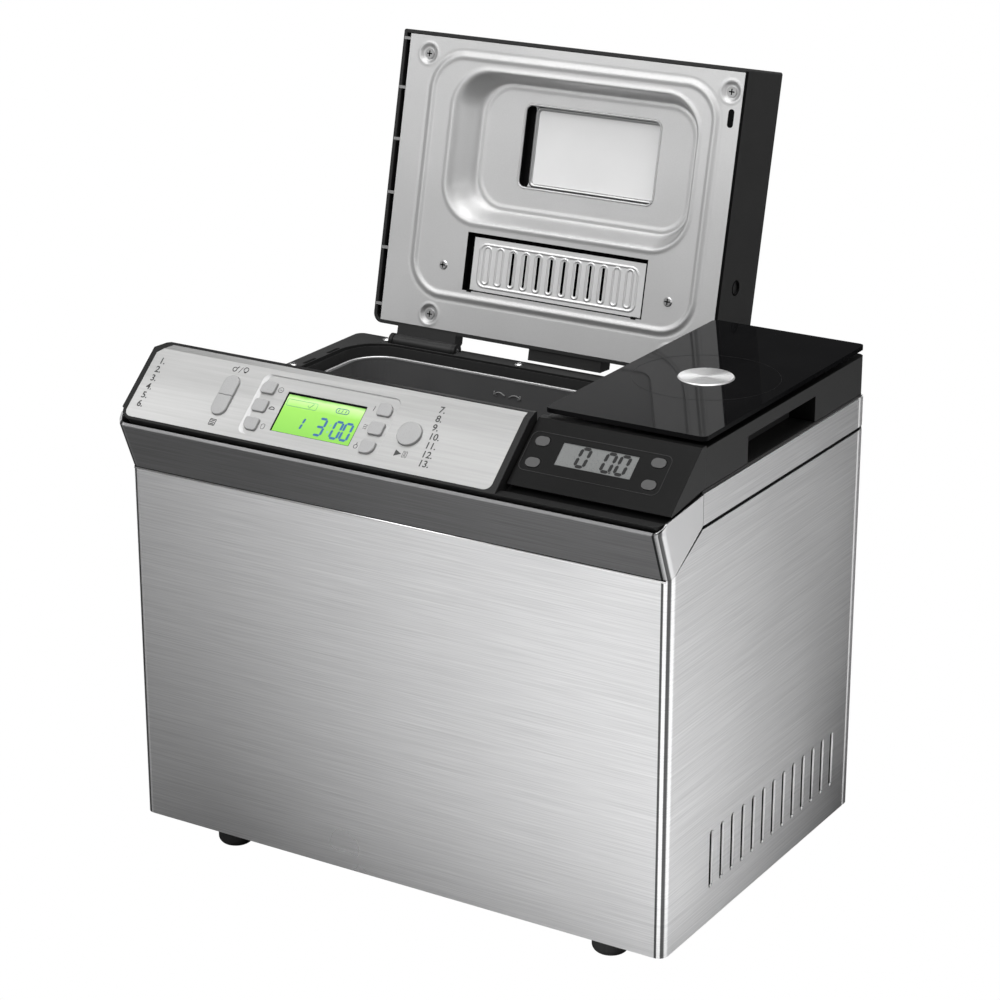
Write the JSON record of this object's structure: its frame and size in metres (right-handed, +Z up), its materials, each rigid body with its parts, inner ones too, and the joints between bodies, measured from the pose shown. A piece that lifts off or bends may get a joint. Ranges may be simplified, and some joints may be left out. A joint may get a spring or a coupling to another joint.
{
  "type": "bread_machine",
  "caption": "Bread machine with an open hinged lid, lift-out pan with kneading paddle, sloped control panel and a lift-off kitchen scale beside the oven",
  "frame": {"origin": "centre of the flat underside of the base plate, 12 mm above the surface the feet stand on", "axes": "+Z up, front faces -Y, +X to the right seen from the front"},
  "size_m": [0.4, 0.3712, 0.4988],
  "materials": {
    "steel": "horizontal brushed stainless steel sheet",
    "dark_steel": "dark brushed steel band",
    "silver_sheet": "satin stamped sheet",
    "faceplate": "fine brushed aluminium faceplate",
    "oven_sheet": "dull oven lining",
    "hardware": "plated screws, pins and wire",
    "cast": "cast aluminium",
    "black_plastic": "fine textured black plastic",
    "deck_plastic": "matte dark grey deck plastic",
    "key_plastic": "silver painted keys",
    "grey_plastic": "grey plastic",
    "rubber": "black rubber",
    "non_stick": "dark non-stick coating",
    "heater_tube": "dark sheathed heater tube",
    "green_lcd": "green backlit display",
    "grey_lcd": "grey display",
    "board": "circuit board",
    "bronze": "sintered bronze",
    "black_glass": "glossy black back-painted glass",
    "smoked_glass": "smoked lid glass",
    "window_glass": "lid window glass"
  },
  "bodies": {
    "machine": {"body_wrap": "steel", "rear_panel": "steel", "base_plate": "black_plastic", "feet": "rubber", "front_band": "dark_steel", "side_strip": "steel", "deck": "deck_plastic", "deck_screws": "hardware", "oven_chamber": "oven_sheet", "oven_legs": "steel", "cord_gland": "black_plastic", "heater": "heater_tube", "temp_sensor": "hardware", "control_housing": "black_plastic", "control_plate": "faceplate", "control_lcd": "green_lcd", "control_board": "board", "power_board": "board", "motor": "cast", "drive_belt": "rubber", "bearing_housing": "cast", "bushes": "bronze", "hinge_brackets": "black_plastic", "hinge_pins": "hardware", "scale_tray": "black_plastic"},
    "lid": {"lid_shell": "black_plastic", "lid_cover": "smoked_glass", "lid_plate": "silver_sheet", "lid_window": "window_glass", "lid_grille": "silver_sheet", "lid_screws": "hardware"},
    "pan": {"bread_pan": "non_stick", "pan_foot": "cast"},
    "pan_bail": {"pan_handle": "hardware"},
    "kneader": {"pan_shaft": "hardware"},
    "paddle": {"paddle": "non_stick"},
    "drive": {"drive_shaft": "hardware", "large_pulley": "black_plastic"},
    "rotor": {"motor_pulley": "hardware"},
    "scale": {"scale_housing": "black_plastic", "scale_base": "black_plastic", "load_cell": "cast", "scale_display": "grey_lcd"},
    "platform": {"scale_glass": "black_glass", "scale_disc": "hardware", "platform_post": "grey_plastic"},
    "battery_door": {"battery_door": "black_plastic"},
    "rocker_up_body": {"rocker_up": "key_plastic"},
    "rocker_down_body": {"rocker_down": "key_plastic"},
    "key_a_body": {"key_a": "key_plastic"},
    "key_b_body": {"key_b": "key_plastic"},
    "key_c_body": {"key_c": "key_plastic"},
    "key_d_body": {"key_d": "key_plastic"},
    "key_e_body": {"key_e": "key_plastic"},
    "key_f_body": {"key_f": "key_plastic"},
    "start_key_body": {"start_key": "key_plastic"},
    "scale_key_a_body": {"scale_key_a": "grey_plastic"},
    "scale_key_b_body": {"scale_key_b": "grey_plastic"},
    "scale_key_c_body": {"scale_key_c": "grey_plastic"},
    "scale_key_d_body": {"scale_key_d": "grey_plastic"}
  },
  "joints": [
    {"name": "lid_hinge", "type": "hinge", "parent": "machine", "child": "lid", "pos_m": [-0.05, 0.1265, 0.273], "axis": [-1, 0, 0], "range_deg": [-102.6, 0]},
    {"name": "pan_lift", "type": "slide", "parent": "machine", "child": "pan", "axis": [0, 0, 1], "range_m": [0, 0.18]},
    {"name": "bail_swing", "type": "hinge", "parent": "pan", "child": "pan_bail", "pos_m": [-0.05, 0.0115, 0.261], "axis": [-1, 0, 0], "range_deg": [0, 180]},
    {"name": "kneader_turn", "type": "hinge", "parent": "pan", "child": "kneader", "pos_m": [-0.05, 0.0115, 0.11], "axis": [0, 0, 1], "continuous": true},
    {"name": "paddle_lift", "type": "slide", "parent": "kneader", "child": "paddle", "axis": [0, 0, 1], "range_m": [0, 0.07]},
    {"name": "drive_turn", "type": "hinge", "parent": "machine", "child": "drive", "pos_m": [-0.05, 0.0115, 0.05], "axis": [0, 0, 1], "continuous": true},
    {"name": "rotor_turn", "type": "hinge", "parent": "machine", "child": "rotor", "pos_m": [0.14, 0.0115, 0.05], "axis": [0, 0, 1], "continuous": true},
    {"name": "scale_lift", "type": "slide", "parent": "machine", "child": "scale", "axis": [0, 0, 1], "range_m": [0, 0.08]},
    {"name": "platform_press", "type": "slide", "parent": "scale", "child": "platform", "axis": [0, 0, -1], "range_m": [0, 0.0005], "stiffness_N_per_m": 30000},
    {"name": "door_slide", "type": "slide", "parent": "scale", "child": "battery_door", "axis": [0, 1, 0], "range_m": [0, 0.006]},
    {"name": "rocker_up_press", "type": "slide", "parent": "machine", "child": "rocker_up_body", "axis": [0, 0.6587, -0.7524], "range_m": [0, 0.0008], "stiffness_N_per_m": 400},
    {"name": "rocker_down_press", "type": "slide", "parent": "machine", "child": "rocker_down_body", "axis": [0, 0.6587, -0.7524], "range_m": [0, 0.0008], "stiffness_N_per_m": 400},
    {"name": "key_a_press", "type": "slide", "parent": "machine", "child": "key_a_body", "axis": [0, 0.6587, -0.7524], "range_m": [0, 0.0008], "stiffness_N_per_m": 400},
    {"name": "key_b_press", "type": "slide", "parent": "machine", "child": "key_b_body", "axis": [0, 0.6587, -0.7524], "range_m": [0, 0.0008], "stiffness_N_per_m": 400},
    {"name": "key_c_press", "type": "slide", "parent": "machine", "child": "key_c_body", "axis": [0, 0.6587, -0.7524], "range_m": [0, 0.0008], "stiffness_N_per_m": 400},
    {"name": "key_d_press", "type": "slide", "parent": "machine", "child": "key_d_body", "axis": [0, 0.6587, -0.7524], "range_m": [0, 0.0008], "stiffness_N_per_m": 400},
    {"name": "key_e_press", "type": "slide", "parent": "machine", "child": "key_e_body", "axis": [0, 0.6587, -0.7524], "range_m": [0, 0.0008], "stiffness_N_per_m": 400},
    {"name": "key_f_press", "type": "slide", "parent": "machine", "child": "key_f_body", "axis": [0, 0.6587, -0.7524], "range_m": [0, 0.0008], "stiffness_N_per_m": 400},
    {"name": "start_key_press", "type": "slide", "parent": "machine", "child": "start_key_body", "axis": [0, 0.6587, -0.7524], "range_m": [0, 0.0008], "stiffness_N_per_m": 400},
    {"name": "scale_key_a_press", "type": "slide", "parent": "scale", "child": "scale_key_a_body", "axis": [0, 0.6414, -0.7672], "range_m": [0, 0.0004], "stiffness_N_per_m": 400},
    {"name": "scale_key_b_press", "type": "slide", "parent": "scale", "child": "scale_key_b_body", "axis": [0, 0.6414, -0.7672], "range_m": [0, 0.0004], "stiffness_N_per_m": 400},
    {"name": "scale_key_c_press", "type": "slide", "parent": "scale", "child": "scale_key_c_body", "axis": [0, 0.6414, -0.7672], "range_m": [0, 0.0004], "stiffness_N_per_m": 400},
    {"name": "scale_key_d_press", "type": "slide", "parent": "scale", "child": "scale_key_d_body", "axis": [0, 0.6414, -0.7672], "range_m": [0, 0.0004], "stiffness_N_per_m": 400}
  ],
  "couplings": [
    {"joint": "kneader_turn", "follows": "drive_turn", "ratio": 1},
    {"joint": "rotor_turn", "follows": "drive_turn", "ratio": 4.6667}
  ]
}
